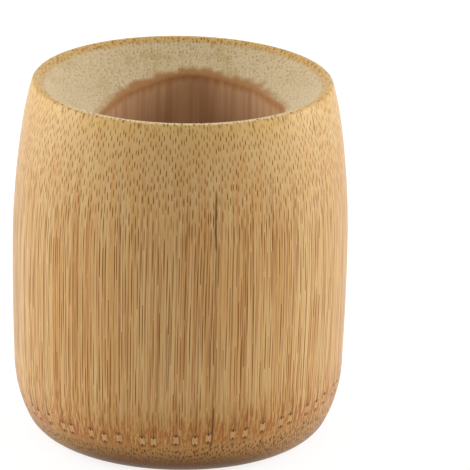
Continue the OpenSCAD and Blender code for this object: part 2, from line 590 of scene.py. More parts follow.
class Drawing:
    """A material drawn in nodes."""

    def __init__(self, name: str) -> None:
        """Starts an empty material.

        Args:
            name: Name of the material.
        """
        self.material = bpy.data.materials.new(name)
        self.material.use_nodes = True
        self.tree = self.material.node_tree
        self.tree.nodes.clear()

    def node(self, kind: str, feeds: dict[str | int, Feed], **settings: object) -> bpy.types.Node:
        """Adds a node.

        Args:
            kind: The node's type.
            feeds: Its inputs by name or number, with the value or socket that each takes.
            **settings: Its properties.

        Returns:
            The node.
        """
        made = self.tree.nodes.new(kind)
        for key, value in settings.items():
            setattr(made, key, value)
        for key, value in feeds.items():
            if isinstance(value, bpy.types.NodeSocket):
                self.tree.links.new(value, made.inputs[key])
            else:
                made.inputs[key].default_value = value
        return made

    def sum(self, operation: str, *values: Feed) -> Socket:
        """Adds a Math node and returns its value."""
        return self.node("ShaderNodeMath", dict(enumerate(values)), operation=operation).outputs[0]

    def times(self, first: Feed, *others: Feed) -> Socket:
        """Multiplies numbers.

        Args:
            first: The first number.
            *others: The other numbers.

        Returns:
            Their product.
        """
        for other in others:
            first = self.sum("MULTIPLY", first, other)
        return first

    def plus(self, first: Feed, second: Feed) -> Socket:
        """Adds two numbers."""
        return self.sum("ADD", first, second)

    def less(self, first: Feed, second: Feed) -> Socket:
        """Takes the second number from the first."""
        return self.sum("SUBTRACT", first, second)

    def over(self, first: Feed, second: Feed) -> Socket:
        """Divides the first number by the second."""
        return self.sum("DIVIDE", first, second)

    def vector(self, operation: str, *values: Feed) -> Socket:
        """Adds a Vector Math node.

        Args:
            operation: What the node does.
            *values: Its inputs in order.

        Returns:
            Its vector, or its value where the operation gives one.
        """
        feeds = dict(enumerate(values))
        made = self.node("ShaderNodeVectorMath", feeds, operation=operation)
        return made.outputs["Value" if operation in ("LENGTH", "DOT_PRODUCT") else "Vector"]

    def scaled(self, value: Feed, scale: Feed) -> Socket:
        """Makes a vector longer or shorter."""
        feeds = {0: value, "Scale": scale}
        return self.node("ShaderNodeVectorMath", feeds, operation="SCALE").outputs["Vector"]

    def join(self, x: Feed, y: Feed, z: Feed = 0.0) -> Socket:
        """Joins three numbers into a vector."""
        return self.node("ShaderNodeCombineXYZ", {0: x, 1: y, 2: z}).outputs[0]

    def parts(self, value: Socket, kind: str = "Color") -> list[Socket]:
        """Splits a colour, or with kind XYZ a vector, into its three numbers."""
        return list(self.node("ShaderNodeSeparate" + kind, {0: value}).outputs)[:3]

    def away(self, x: Feed, y: Feed) -> Socket:
        """Distance of a point in a plane from the origin."""
        return self.vector("LENGTH", self.join(x, y))

    def ease(
        self, value: Feed, start: float, end: float, low: Feed = 0.0, high: Feed = 1.0
    ) -> Socket:
        """Maps a value smoothly from one range to another.

        Args:
            value: The value.
            start: Where the change starts.
            end: Where it ends, over or under the start.
            low: Result up to the start.
            high: Result from the end on.

        Returns:
            The result.
        """
        if start > end:
            start, end, low, high = end, start, high, low
        feeds = {"Value": value, "From Min": start, "From Max": end, "To Min": low, "To Max": high}
        return self.node("ShaderNodeMapRange", feeds, interpolation_type="SMOOTHSTEP").outputs[0]

    def bell(self, value: Feed, width: float) -> Socket:
        """A soft bump that is 1 where the value is 0 and fades over a width on both sides."""
        share = self.over(value, width)
        return self.sum("EXPONENT", self.times(share, share, -1.0))

    def _noise(self, at: Socket, detail: float, rough: float) -> bpy.types.Node:
        """Adds a Noise node with one wave to a unit."""
        feeds = {"Vector": at, "Scale": 1.0, "Detail": detail, "Roughness": rough}
        return self.node("ShaderNodeTexNoise", feeds, noise_dimensions="3D")

    def noise(self, at: Socket, detail: float = 2.0, rough: float = 0.5) -> Socket:
        """Noise from 0 to 1."""
        return self._noise(at, detail, rough).outputs[0]

    def drift(self, at: Socket, reach: Feed) -> Socket:
        """A vector that wanders to all sides by up to half of a reach."""
        wander = self._noise(at, 2.0, 0.5).outputs["Color"]
        return self.scaled(self.vector("SUBTRACT", wander, (0.5, 0.5, 0.5)), reach)

    def mix(self, share: Feed, first: Feed, second: Feed) -> Socket:
        """Mixes two colours."""
        feeds = {0: share, 6: first, 7: second}
        return self.node("ShaderNodeMix", feeds, data_type="RGBA", clamp_factor=True).outputs[2]

    def surface(
        self, colour: Socket, height: Socket, depth: float, gloss: Gloss
    ) -> bpy.types.Material:
        """Ends the material in a shader.

        Args:
            colour: Colour of the surface.
            height: Relief from 0 to 1.
            depth: Depth of the relief in metres.
            gloss: How the surface shines.

        Returns:
            The finished material.
        """
        bump = self.node("ShaderNodeBump", {"Strength": 1.0, "Distance": depth, "Height": height})
        feeds = {
            "Base Color": colour,
            "Roughness": gloss.rough,
            "Specular IOR Level": gloss.specular,
            "Coat Weight": gloss.coat,
            "Coat Roughness": gloss.coat_rough,
            "Normal": bump.outputs[0],
        }
        return self.end(feeds)

    def end(self, feeds: dict[str | int, Feed]) -> bpy.types.Material:
        """Adds the shader and the output.

        Args:
            feeds: The shader's inputs.

        Returns:
            The finished material.
        """
        shader = self.node("ShaderNodeBsdfPrincipled", feeds)
        self.node("ShaderNodeOutputMaterial", {"Surface": shader.outputs[0]})
        return self.material


class CulmField:
    """Where a point lies in the culm, in millimetres, for every finish that needs it."""

    def __init__(self, ink: Drawing) -> None:
        """Draws the measures that the finishes share.

        Args:
            ink: The material that the measures are drawn in.
        """
        self.ink = ink
        coords = ink.node("ShaderNodeTexCoord", {}).outputs["Object"]
        self.at = ink.scaled(coords, 1 / MM)
        self.x, self.y, self.z = ink.parts(self.at, "XYZ")
        flat = ink.join(self.x, self.y)
        self.r = ink.vector("LENGTH", flat)
        self.angle = ink.sum("ARCTAN2", self.y, self.x)
        self.back = ink.over(self.y, self.r)  # 1 at the back of the cup, -1 at its front
        self.outward = ink.vector("NORMALIZE", flat)
        self.sideways = ink.vector("CROSS_PRODUCT", (0, 0, 1), self.outward)
        self.above, self.strand_u, self.strand_v = self._strands()

    def _swing(self, angle: Socket, reach: float, level: Feed) -> Socket:
        """A level that swings by a reach, which is in metres, with the cosine of an angle."""
        return self.ink.sum("MULTIPLY_ADD", self.ink.sum("COSINE", angle), reach / MM, level)

    def _strands(self) -> tuple[Socket, Socket, Socket]:
        """Draws where a point lies from the ring of strand ends.

        Returns:
            The height above the ring, and the places beside and above the nearest strand end.
        """
        ink = self.ink
        pitch = math.tau / RING.count
        number = ink.sum("ROUND", ink.over(self.angle, pitch))
        turned = ink.times(ink.sum("FLOORED_MODULO", number, float(RING.count)), RING.scatter)
        jitter = ink.sum("MULTIPLY_ADD", ink.sum("SINE", turned), RING.jitter, number)
        middle = ink.times(jitter, pitch)
        level = RING.height / MM
        ring = self._swing(middle, RING.tilt, level)
        ring = self._swing(ink.times(middle, 2.0), RING.wave, ring)
        centre = self._swing(turned, RING.stray, ring)
        smooth = self._swing(self.angle, RING.tilt, level)
        return ink.less(self.z, smooth), self.beside(middle), ink.less(self.z, centre)

    def beside(self, turn: Feed) -> Socket:
        """How far round the cup a point lies from a direction, in millimetres."""
        return self.ink.times(self.ink.less(self.angle, turn), self.r)

    def depth(self, hollow: Hollow) -> Socket:
        """Distance from a point to the edge of a hollow, more than 0 in the wood.

        Args:
            hollow: The natural hollow.

        Returns:
            The distance in millimetres.
        """
        ink = self.ink
        dx = ink.less(self.x, hollow.centre[0] / MM)
        dy = ink.less(self.y, hollow.centre[1] / MM)
        angle = ink.less(ink.sum("ARCTAN2", dy, dx), hollow.turn)
        edge = 0.0
        for count, reach in ((hollow.lobes, hollow.lobe), (hollow.ripples, hollow.ripple)):
            edge = self._swing(ink.times(angle, float(count)), reach, edge)
        edge = ink.sum("MULTIPLY_ADD", edge, hollow.share, hollow.radius / MM)
        return ink.less(ink.away(dx, dy), edge)

    def stretched(self, across: float, along: float, at: Socket | None = None) -> Socket:
        """Coordinates in which a pattern is stretched along the culm."""
        return self.ink.vector("MULTIPLY", at or self.at, (1 / across, 1 / across, 1 / along))

    def noise(
        self, across: float, along: float, detail: float = 2.0, rough: float = 0.5
    ) -> Socket:
        """Noise from 0 to 1 that is stretched along the culm."""
        return self.ink.noise(self.stretched(across, along), detail, rough)

    def ragged(self, across: float, along: float, detail: float = 2.0) -> Socket:
        """Noise from -0.5 to 0.5 that is stretched along the culm."""
        return self.ink.less(self.noise(across, along, detail), 0.5)

    def rolled(self, bent: Socket) -> tuple[Socket, Socket]:
        """Coordinates that follow the turned side, so that what follows the fibres runs straight.

        Args:
            bent: Place of the point in the culm, with the fibres' bends.

        Returns:
            The place moved out or in to one even cylinder, and the way round it from the front.
        """
        ink = self.ink
        flat = ink.vector("NORMALIZE", ink.vector("MULTIPLY", bent, (1, 1, 0)))
        even = ink.vector("ADD", ink.scaled(flat, PATTERN_R), ink.join(0.0, 0.0, self.z))
        x, y, _ = ink.parts(bent, "XYZ")
        return even, ink.times(ink.sum("ARCTAN2", x, ink.times(y, -1.0)), PATTERN_R)


@dataclass(frozen=True)
class Bundles:
    """One population of the culm's fibre bundles, upright columns that the lathe cuts across."""

    pitch: float
    out: float
    side: float
    inner: float
    random: float

    def draw(self, field: CulmField, at: Socket) -> tuple[Socket, Socket, Socket]:
        """Draws the dark cap and the pale vessels of each bundle.

        Args:
            field: Where the surface lies.
            at: Place of the point in the culm, with the fibres' bends.

        Returns:
            The cap and the vessels, each from 0 to 1, and a number of each bundle's own.
        """
        ink = field.ink
        feeds = {"Vector": at, "Scale": 1 / self.pitch, "Randomness": self.random}
        cells = ink.node("ShaderNodeTexVoronoi", feeds, voronoi_dimensions="2D", feature="F1")
        flat = ink.vector("MULTIPLY", at, (1, 1, 0))
        off = ink.vector("SUBTRACT", flat, cells.outputs["Position"])
        radial = ink.vector("DOT_PRODUCT", off, field.outward)
        lateral = ink.over(ink.vector("DOT_PRODUCT", off, field.sideways), self.side)
        own = ink.parts(cells.outputs["Color"])
        cap = ink.away(ink.over(radial, self.out), lateral)
        cap = ink.ease(ink.over(cap, ink.ease(own[1], 0, 1, 0.7, 1.25)), 1.1, 0.6)
        vessels = ink.away(ink.over(ink.plus(radial, self.inner), self.out), lateral)
        return cap, ink.ease(vessels, 1.2, 0.4), own[0]


@dataclass(frozen=True)
class Dashes:
    """Fibre bundles as the turned side cuts them: upright dashes in staggered columns.

    The rows lie close on the shoulder and under the node, where the lathe cuts across the fibres,
    and far apart between, where the dashes grow into lines.
    """

    columns: int = 350
    side: float = 0.1
    slip: float = 0.6
    stray: Point = (0.4, 0.45)
    vessel_below: float = 0.3
    vessel_half: float = 0.14
    rate: float = 0.09
    shoulder_z: float = 50.0
    shoulder_soft: float = 14.0
    shoulder_rate: float = 0.38
    heel_z: float = 15.0
    heel_soft: float = 4.0
    heel_rate: float = 0.2
    shoulder_half: float = 0.27
    flank_half: float = 0.62
    heel_half: float = 0.4
    upper_z: Span = (52.0, 38.0)
    lower_z: Span = (17.0, 11.0)

    def rows(self, field: CulmField) -> Socket:
        """Height on the side, counted in rows of dashes.

        Args:
            field: Where the surface lies.

        Returns:
            The number of rows.
        """
        ink = field.ink
        rise = ink.sum("SMOOTH_MAX", ink.less(field.z, self.shoulder_z), 0.0, self.shoulder_soft)
        fall = ink.sum("SMOOTH_MAX", ink.less(self.heel_z, field.z), 0.0, self.heel_soft)
        rows = ink.sum("MULTIPLY_ADD", rise, self.shoulder_rate, ink.times(field.z, self.rate))
        return ink.sum("MULTIPLY_ADD", fall, -self.heel_rate, rows)

    def draw(self, field: CulmField, way: Socket) -> tuple[Socket, Socket, Socket]:
        """Draws the dashes.

        Args:
            field: Where the surface lies.
            way: The way round the side, in millimetres.

        Returns:
            The dashes and the pale vessels beside them, each from 0 to 1, and a number of each
            dash's own.
        """
        ink = field.ink
        step = math.tau * PATTERN_R / self.columns
        length = ink.ease(field.z, *self.lower_z, self.flank_half, self.heel_half)
        length = ink.ease(field.z, *self.upper_z, self.shoulder_half, length)
        across = ink.over(way, step)
        column = ink.sum("FLOOR", across)
        chance = ink.node("ShaderNodeTexWhiteNoise", {"W": column}, noise_dimensions="1D")
        every_other = ink.sum("FLOORED_MODULO", column, 2.0)
        lift = ink.sum("MULTIPLY_ADD", chance.outputs["Value"], self.slip, every_other)
        along = ink.sum("MULTIPLY_ADD", lift, 0.5, self.rows(field))
        row = ink.sum("FLOOR", along)
        cell = {"Vector": ink.join(column, row)}
        chance = ink.node("ShaderNodeTexWhiteNoise", cell, noise_dimensions="2D")
        own = ink.parts(chance.outputs["Color"])
        places = []
        for place, first, chosen, stray in zip((across, along), (column, row), own, self.stray):
            middle = ink.sum("MULTIPLY_ADD", chosen, stray, 0.5 - stray / 2)
            places.append(ink.less(ink.less(place, first), middle))
        u = ink.times(places[0], step / self.side)
        dash = ink.away(u, ink.over(places[1], length))
        vessel = ink.away(u, ink.over(ink.plus(places[1], self.vessel_below), self.vessel_half))
        return ink.ease(dash, 1.15, 0.6), ink.ease(vessel, 1.2, 0.4), own[2]


@dataclass(frozen=True)
class Crack:
    """A fine crack in the side, its turn in degrees and its heights and width in millimetres."""

    turn: float
    low: float
    high: float
    width: float
    dark: float


@dataclass(frozen=True)
class BambooWood:
    """Turned and sanded bamboo under a thin satin lacquer.

    Heights and radii are in millimetres, and those above the ring of strand ends count from it.
    A span tells where a change starts and where it ends.
    """

    pale: Colour = paint(205, 171, 117)
    # warm tone of the wood; towards the front it is also laid on as painted shade
    warm: Colour = paint(197, 151, 92)
    crest: Colour = paint(222, 184, 112)
    # painted highlight: pale cream for the lacquer's shine on the crest of the lip
    lip: Colour = paint(250, 230, 188)
    inner: Colour = paint(221, 199, 159)
    olive: Colour = paint(190, 166, 106)
    cap: Colour = paint(128, 74, 4)
    inner_cap: Colour = paint(164, 136, 86)
    crest_cap: Colour = paint(150, 96, 30)
    vessel: Colour = paint(214, 184, 130)
    inner_vessel: Colour = paint(216, 198, 156)
    stroke: Colour = paint(158, 92, 24)
    line: Colour = paint(118, 66, 8)
    flame: Colour = paint(148, 78, 16)
    # browner wood under the node, also laid on towards the foot and the front as painted shade
    low: Colour = paint(176, 133, 74)
    low_cap: Colour = paint(100, 54, 0)
    # painted shade: dark brown laid on the toe and the sole
    toe: Colour = paint(96, 64, 26)
    crack: Colour = paint(92, 50, 0)
    halo: Colour = paint(174, 126, 78)
    fine: Dashes = Dashes()
    coarse: Bundles = Bundles(pitch=0.64, out=0.26, side=0.18, inner=0.3, random=0.8)
    dense: Bundles = Bundles(pitch=0.42, out=0.14, side=0.17, inner=0.2, random=0.7)
    gloss: Gloss = Gloss(rough=0.42, specular=0.1, coat=0.2, coat_rough=0.34)
    relief: float = 0.02 * MM
    lean_z: Span = (20.0, 8.0)
    lean: float = 1.6
    flare_r: Span = (25.0, 24.3)
    crest_r: float = 25.9
    crest_wide: float = 1.35
    crest_z: Span = (63.2, 64.2)
    lip_highlight_z: Span = (64.75, 64.95)
    streak_r: Span = (27.8, 29.8)
    thread_r: Span = (28.2, 29.6)
    strong_z: Span = (52.0, 42.0)
    red_above: Span = (12.0, 0.0)
    low_above: Span = (10.0, 0.0)
    under_above: Span = (-0.8, -3.0)
    toe_shade_z: Span = (7.0, 0.6)
    sole_shade_z: Span = (0.5, 0.0)
    halo_depth: Span = (2.2, 0.5)
    cracks: tuple[Crack, ...] = (
        Crack(-77.2, 43.0, 53.0, 0.21, 0.9),
        Crack(-77.0, 15.0, 44.0, 0.13, 0.5),
        Crack(-77.2, 5.6, 14.0, 0.22, 0.95),
        Crack(-93.1, 17.0, 29.0, 0.12, 0.55),
        Crack(-32.4, 59.6, 63.2, 0.15, 0.7),
    )
    # painted highlight: where a soft streak of the lacquer's sheen is painted, and its size
    sheen_turn: float = math.radians(-36.2)
    sheen_z: float = 33.4
    sheen_wide: float = 0.5
    sheen_tall: float = 2.4

    def bends(self, field: CulmField) -> Socket:
        """Draws how the fibres wander as they rise, and how they part round the strand ends.

        Args:
            field: Where the surface lies.

        Returns:
            Place of the point in the culm, with the fibres' bends.
        """
        ink = field.ink
        fade = ink.sum("EXPONENT", ink.times(ink.sum("ABSOLUTE", field.strand_u), -1.0))
        side = ink.sum("SIGN", field.strand_u)
        push = ink.times(side, fade, ink.bell(field.strand_v, 1.9), -0.4)
        total = field.at
        for bend in (
            ink.drift(field.stretched(16, 60), 1.2),
            ink.drift(field.stretched(3, 9), 0.07),
            ink.drift(field.stretched(2, 5), ink.times(ink.bell(field.above, 2.4), 0.8)),
            ink.scaled(field.sideways, push),
        ):
            total = ink.vector("ADD", total, bend)
        return total

    def draw(self, field: CulmField) -> tuple[Socket, Socket]:
        """Draws the wood.

        Args:
            field: Where the surface lies.

        Returns:
            The colour, and the relief from 0 to 1.
        """
        ink = field.ink
        at = self.bends(field)
        even, way = field.rolled(at)
        depth_in = ink.plus(field.r, ink.ease(field.z, *self.lean_z, 0.0, self.lean))
        inside = ink.ease(depth_in, *self.flare_r)
        under_node = ink.ease(field.above, *self.under_above)
        grain = ink.noise(field.stretched(0.22, 50, even), 3, 0.6)

        colour = self.ground(field, depth_in, inside)
        colour = self.foot(field, colour, under_node)
        streak = ink.ease(depth_in, *self.streak_r, 0.04, 0.6)
        streak = ink.times(ink.ease(grain, 0.48, 0.62), streak)
        colour = ink.mix(streak, colour, self.stroke)
        thread = ink.ease(ink.noise(field.stretched(0.3, 38, even)), 0.60, 0.68)
        thread = ink.times(thread, ink.ease(depth_in, *self.thread_r, 0.0, 0.5))
        colour = ink.mix(thread, colour, self.line)

        cap, vessel, own = self.fine.draw(field, way)
        cap_in, vessel_in, own_in = self.coarse.draw(field, at)
        cap_low, _, own_low = self.dense.draw(field, at)
        strong = ink.ease(own, 0.0, 0.9, ink.ease(field.z, *self.strong_z, 0.6, 0.1), 1.0)
        across = ink.sum("MAXIMUM", inside, under_node)
        across = ink.sum("MAXIMUM", across, ink.ease(field.z, *self.crest_z))
        dashes = ink.times(cap, strong, ink.less(1.0, across))
        faint, full = ink.ease(inside, 0, 1, 0.4, 0.2), ink.ease(inside, 0, 1, 0.9, 0.62)
        dots = ink.times(cap_in, ink.ease(own_in, 0, 1, faint, full), across)
        dots_low = ink.times(cap_low, ink.ease(own_low, 0, 1, 0.7, 1.0))
        dots = ink.ease(under_node, 0, 1, dots, dots_low)
        pale_share = ink.times(
            ink.mix(inside, vessel, vessel_in), ink.ease(under_node, 0, 1, 0.45, 0.05)
        )
        colour = ink.mix(pale_share, colour, ink.mix(inside, self.vessel, self.inner_vessel))
        dash = ink.mix(ink.ease(field.above, *self.red_above), self.cap, self.stroke)
        colour = ink.mix(dashes, colour, dash)
        dot = ink.mix(under_node, self.crest_cap, self.low_cap)
        colour = ink.mix(dots, colour, ink.mix(inside, dot, self.inner_cap))

        colour = self.strokes(field, colour)
        colour = self.marks(field, colour, ink.less(1.0, inside))
        smooth = ink.less(1.0, ink.sum("MAXIMUM", dashes, dots))
        return colour, ink.sum("MULTIPLY_ADD", grain, 0.5, smooth)

    def ground(self, field: CulmField, depth_in: Socket, inside: Socket) -> Socket:
        """Draws the plain colour of the side, the lip and the flare, with painted shade towards the
        front and a painted highlight on the crest of the lip.

        Args:
            field: Where the surface lies.
            depth_in: How far out in the culm's wall the surface lies.
            inside: Share of the flare, as against the side.

        Returns:
            The colour.
        """
        ink = field.ink
        hue = field.noise(1.6, 60, 4, 0.6)
        patch = field.noise(4.5, 6, 3, 0.6)
        speck = field.noise(0.3, 0.5, 2, 0.6)
        # warmer tone where the hue noise says so, plus painted shade: the front is laid warmer and
        # darker
        tint_and_front_shade = ink.plus(
            ink.ease(hue, 0.36, 0.66, 0.0, 0.75), ink.ease(field.back, -0.8, -1.0, 0.0, 0.25)
        )
        colour = ink.mix(tint_and_front_shade, self.pale, self.warm)
        ridge = ink.times(ink.bell(ink.less(depth_in, self.crest_r), self.crest_wide), 0.8)
        colour = ink.mix(ridge, colour, self.crest)
        # painted highlight on the crest of the lip, strongest at the front
        glint = ink.ease(field.back, -0.4, -0.9, 0.0, 0.6)
        colour = ink.mix(ink.ease(field.z, *self.lip_highlight_z, 0.0, glint), colour, self.lip)
        patch = ink.ease(patch, 0.5, 0.7, 0.0, ink.ease(field.back, 0.2, 0.95, 0.3, 0.55))
        flare = ink.mix(patch, self.inner, self.olive)
        flare = ink.mix(ink.ease(speck, 0.4, 0.7, 0.0, 0.3), flare, self.inner_cap)
        return ink.mix(inside, colour, flare)

    def foot(self, field: CulmField, colour: Socket, under_node: Socket) -> Socket:
        """Darkens the colour towards the foot, most at the front: partly the browner wood under the
        node, partly painted shade on the toe, the sole and the front.

        Args:
            field: Where the surface lies.
            colour: Colour without it.
            under_node: Share of what lies under the ring of strand ends.

        Returns:
            Colour with it.
        """
        ink = field.ink
        # painted shade is laid on more strongly at the front of the cup
        front = ink.ease(field.back, -0.6, -1.0, 0.0, 0.62)
        low = ink.ease(field.above, *self.low_above, 0.0, ink.plus(front, 0.3))
        colour = ink.mix(low, colour, self.low)
        colour = ink.mix(ink.times(under_node, 0.9), colour, self.low)
        # painted shade on the toe, and on the sole at half strength
        toe = ink.ease(field.z, *self.toe_shade_z, 0.0, ink.plus(front, 0.55))
        return ink.mix(ink.ease(field.z, *self.sole_shade_z, toe, 0.5), colour, self.toe)

    def strokes(self, field: CulmField, colour: Socket) -> Socket:
        """Draws the reddish strokes that rise like flames from the ring of strand ends.

        Args:
            field: Where the surface lies.
            colour: Colour without them.

        Returns:
            Colour with them.
        """
        ink = field.ink
        flame = field.noise(0.38, 14, 3, 0.65)
        lit = ink.ease(ink.less(flame, ink.ease(field.above, -1.5, 9.5, 0.42, 0.7)), 0.0, 0.1)
        lit = ink.times(lit, ink.ease(field.above, -2.6, -0.8), 0.65)
        colour = ink.mix(lit, colour, self.flame)
        sway = field.ragged(1.2, 6)
        tail = ink.bell(ink.sum("MULTIPLY_ADD", sway, 1.6, field.strand_u), 0.24)
        reach = ink.times(ink.ease(field.strand_v, 0.8, 1.6), ink.ease(field.strand_v, 9.0, 2.0))
        return ink.mix(ink.times(tail, reach, 0.6), colour, self.line)

    def marks(self, field: CulmField, colour: Socket, outside: Socket) -> Socket:
        """Draws the drying crack, two fine dark lines and a painted highlight: a soft pale streak
        of the lacquer's sheen.

        Args:
            field: Where the surface lies.
            colour: Colour without them.
            outside: Share of the side of the cup, as against the flare.

        Returns:
            Colour with them.
        """
        ink = field.ink
        wiggle = field.ragged(30, 7, 3)
        for crack in self.cracks:
            across = ink.sum("MULTIPLY_ADD", wiggle, 0.8, field.beside(math.radians(crack.turn)))
            low = ink.ease(field.z, crack.low - 1, crack.low + 1)
            high = ink.ease(field.z, crack.high + 1, crack.high - 1)
            line = ink.times(ink.bell(across, crack.width), low, high, outside, crack.dark)
            colour = ink.mix(line, colour, self.crack)
        # painted highlight: a soft pale streak of sheen, in the vessels' pale colour
        sheen = ink.bell(field.beside(self.sheen_turn), self.sheen_wide)
        sheen = ink.times(sheen, ink.bell(ink.less(field.z, self.sheen_z), self.sheen_tall), 0.5)
        return ink.mix(sheen, colour, self.vessel)

    def halo_share(self, field: CulmField, depth: Socket) -> Socket:
        """Share of the orange-brown stain that the pith leaves round the mouth of the hollow.

        Args:
            field: Where the surface lies.
            depth: Distance of the point from the hollow's edge.

        Returns:
            The share.
        """
        ink = field.ink
        ragged = field.ragged(2.0, 20, 0.6)
        depth = ink.sum("MULTIPLY_ADD", ink.less(1.0, field.back), 0.5, depth)
        depth = ink.sum("MULTIPLY_ADD", ragged, 2.4, depth)
        most = ink.ease(field.back, 0.1, 0.9, 0.45, 1.0)
        return ink.ease(depth, *self.halo_depth, 0.0, most)

    def material(self) -> bpy.types.Material:
        """Makes the material of the turned wall.

        Returns:
            The finished material.
        """
        ink = Drawing("turned_bamboo")
        field = CulmField(ink)
        colour, relief = self.draw(field)
        colour = ink.mix(self.halo_share(field, field.depth(CAVITY)), colour, self.halo)
        return ink.surface(colour, relief, self.relief, self.gloss)


@dataclass(frozen=True)
class PithSkin:
    """Natural brown skin that lines the hollow, matt, with fine upright ridges."""

    brown: Colour = paint(204, 163, 123)
    dark: Colour = paint(189, 145, 106)
    pale: Colour = paint(212, 176, 140)
    wood: BambooWood = BambooWood()
    gloss: Gloss = Gloss(rough=0.72, specular=0.2)
    relief: float = 0.02 * MM

    def draw(self, field: CulmField) -> tuple[Socket, Socket]:
        """Draws the bare skin.

        Args:
            field: Where the surface lies.

        Returns:
            The colour, and the relief from 0 to 1.
        """
        ink = field.ink
        wide = field.noise(1.6, 70, 3)
        thin = field.noise(0.3, 30, 3, 0.6)
        colour = ink.mix(ink.ease(wide, 0.35, 0.65), self.dark, self.brown)
        return ink.mix(ink.ease(thin, 0.5, 0.8, 0.0, 0.4), colour, self.pale), thin

    def stain(self, field: CulmField) -> Socket:
        """Share of the orange-brown stain just under the place where the flare cuts the skin.

        Args:
            field: Where the surface lies.

        Returns:
            The share.
        """
        ink = field.ink
        flare = BARREL.flare
        off = ink.less(field.r, flare.centre[0] / MM)
        drop = ink.sum("SQRT", ink.less((flare.radius / MM) ** 2, ink.times(off, off)))
        top = ink.less(flare.centre[1] / MM, drop)
        ragged = field.ragged(0.9, 30, 3)
        return ink.ease(ink.sum("MULTIPLY_ADD", ragged, 1.6, ink.less(top, field.z)), 1.9, 0.2)

    def material(self, name: str, hollow: Hollow) -> bpy.types.Material:
        """Makes the material of a lining.

        Args:
            name: Name of the material.
            hollow: The hollow that the skin lines.

        Returns:
            The finished material.
        """
        ink = Drawing(name)
        field = CulmField(ink)
        depth = field.depth(hollow)
        wood, _ = self.wood.draw(field)
        rim = ink.mix(self.wood.halo_share(field, depth), wood, self.wood.halo)
        skin, relief = self.draw(field)
        skin = ink.mix(self.stain(field), skin, self.wood.halo)
        colour = ink.mix(ink.ease(depth, 0.5, 0.1), rim, skin)
        return ink.surface(colour, relief, self.relief, self.gloss)


@dataclass(frozen=True)
class NodeWood:
    """Woody plate of the node, natural and matt."""

    base: Colour = paint(206, 168, 122)
    spot: Colour = paint(172, 130, 88)
    skin: PithSkin = PithSkin()
    relief: float = 0.05 * MM

    def material(self) -> bpy.types.Material:
        """Makes the material of the floor.

        Returns:
            The finished material.
        """
        ink = Drawing("node_plate")
        field = CulmField(ink)
        skin, ridges = self.skin.draw(field)
        mottle = field.noise(1.2, 1.2, 4, 0.6)
        rings = ink.noise(ink.join(ink.times(field.r, 0.9), 0.0, ink.times(field.z, 0.4)))
        colour = ink.mix(ink.ease(mottle, 0.35, 0.7), self.base, self.spot)
        colour = ink.mix(ink.ease(rings, 0.5, 0.7, 0.0, 0.4), colour, self.spot)
        wall = ink.ease(field.z, 9.8, 12.6)
        relief = ink.mix(wall, mottle, ridges)
        return ink.surface(ink.mix(wall, colour, skin), relief, self.relief, self.skin.gloss)


@dataclass(frozen=True)
class StrandEnd:
    """Cut end of a strand, turned flush: a pale middle between two dark pores."""

    pale: Colour = paint(192, 150, 96)
    rim: Colour = paint(134, 84, 32)
    arc: Colour = paint(92, 52, 16)
    pore: Colour = paint(176, 112, 46)
    arc_r: float = 0.46
    gloss: Gloss = Gloss(rough=0.45, specular=0.1, coat=0.2, coat_rough=0.34)
    relief: float = 0.02 * MM

    def material(self) -> bpy.types.Material:
        """Makes the material of the strand ends.

        Returns:
            The finished material.
        """
        ink = Drawing("strand_end")
        field = CulmField(ink)
        u, v = field.strand_u, ink.sum("ABSOLUTE", field.strand_v)
        width, pore = RING.width / MM, RING.pore_d / MM
        out = ink.away(u, ink.sum("MAXIMUM", ink.less(v, RING.half / MM), 0.0))
        grain = field.noise(0.2, 2.5, 3)
        colour = ink.mix(ink.ease(grain, 0.3, 0.8, 0.0, 0.5), self.pale, self.rim)
        edge = ink.times(ink.ease(out, width * 0.28, width * 0.5), 0.4)
        colour = ink.mix(edge, colour, self.rim)
        arc = ink.times(ink.bell(ink.less(out, self.arc_r), 0.13), ink.ease(v, 0.5, 0.9), 0.8)
        colour = ink.mix(arc, colour, self.arc)
        near = ink.away(u, ink.less(v, RING.pore_gap / MM / 2))
        colour = ink.mix(ink.ease(near, pore * 0.8, pore * 0.5), colour, self.pore)
        return ink.surface(colour, grain, self.relief, self.gloss)


# Pieces


@dataclass
class Dressed:
    """A finished piece, with the node that it replaces and its slot."""

    piece: bpy.types.Object
    node: str
    slot: Slot

    def hand_over(self) -> None:
        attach(self.piece, "root")
        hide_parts(self.node)
        LOG.info("%s: %d faces for %s", self.piece.name, len(self.piece.data.polygons), self.node)


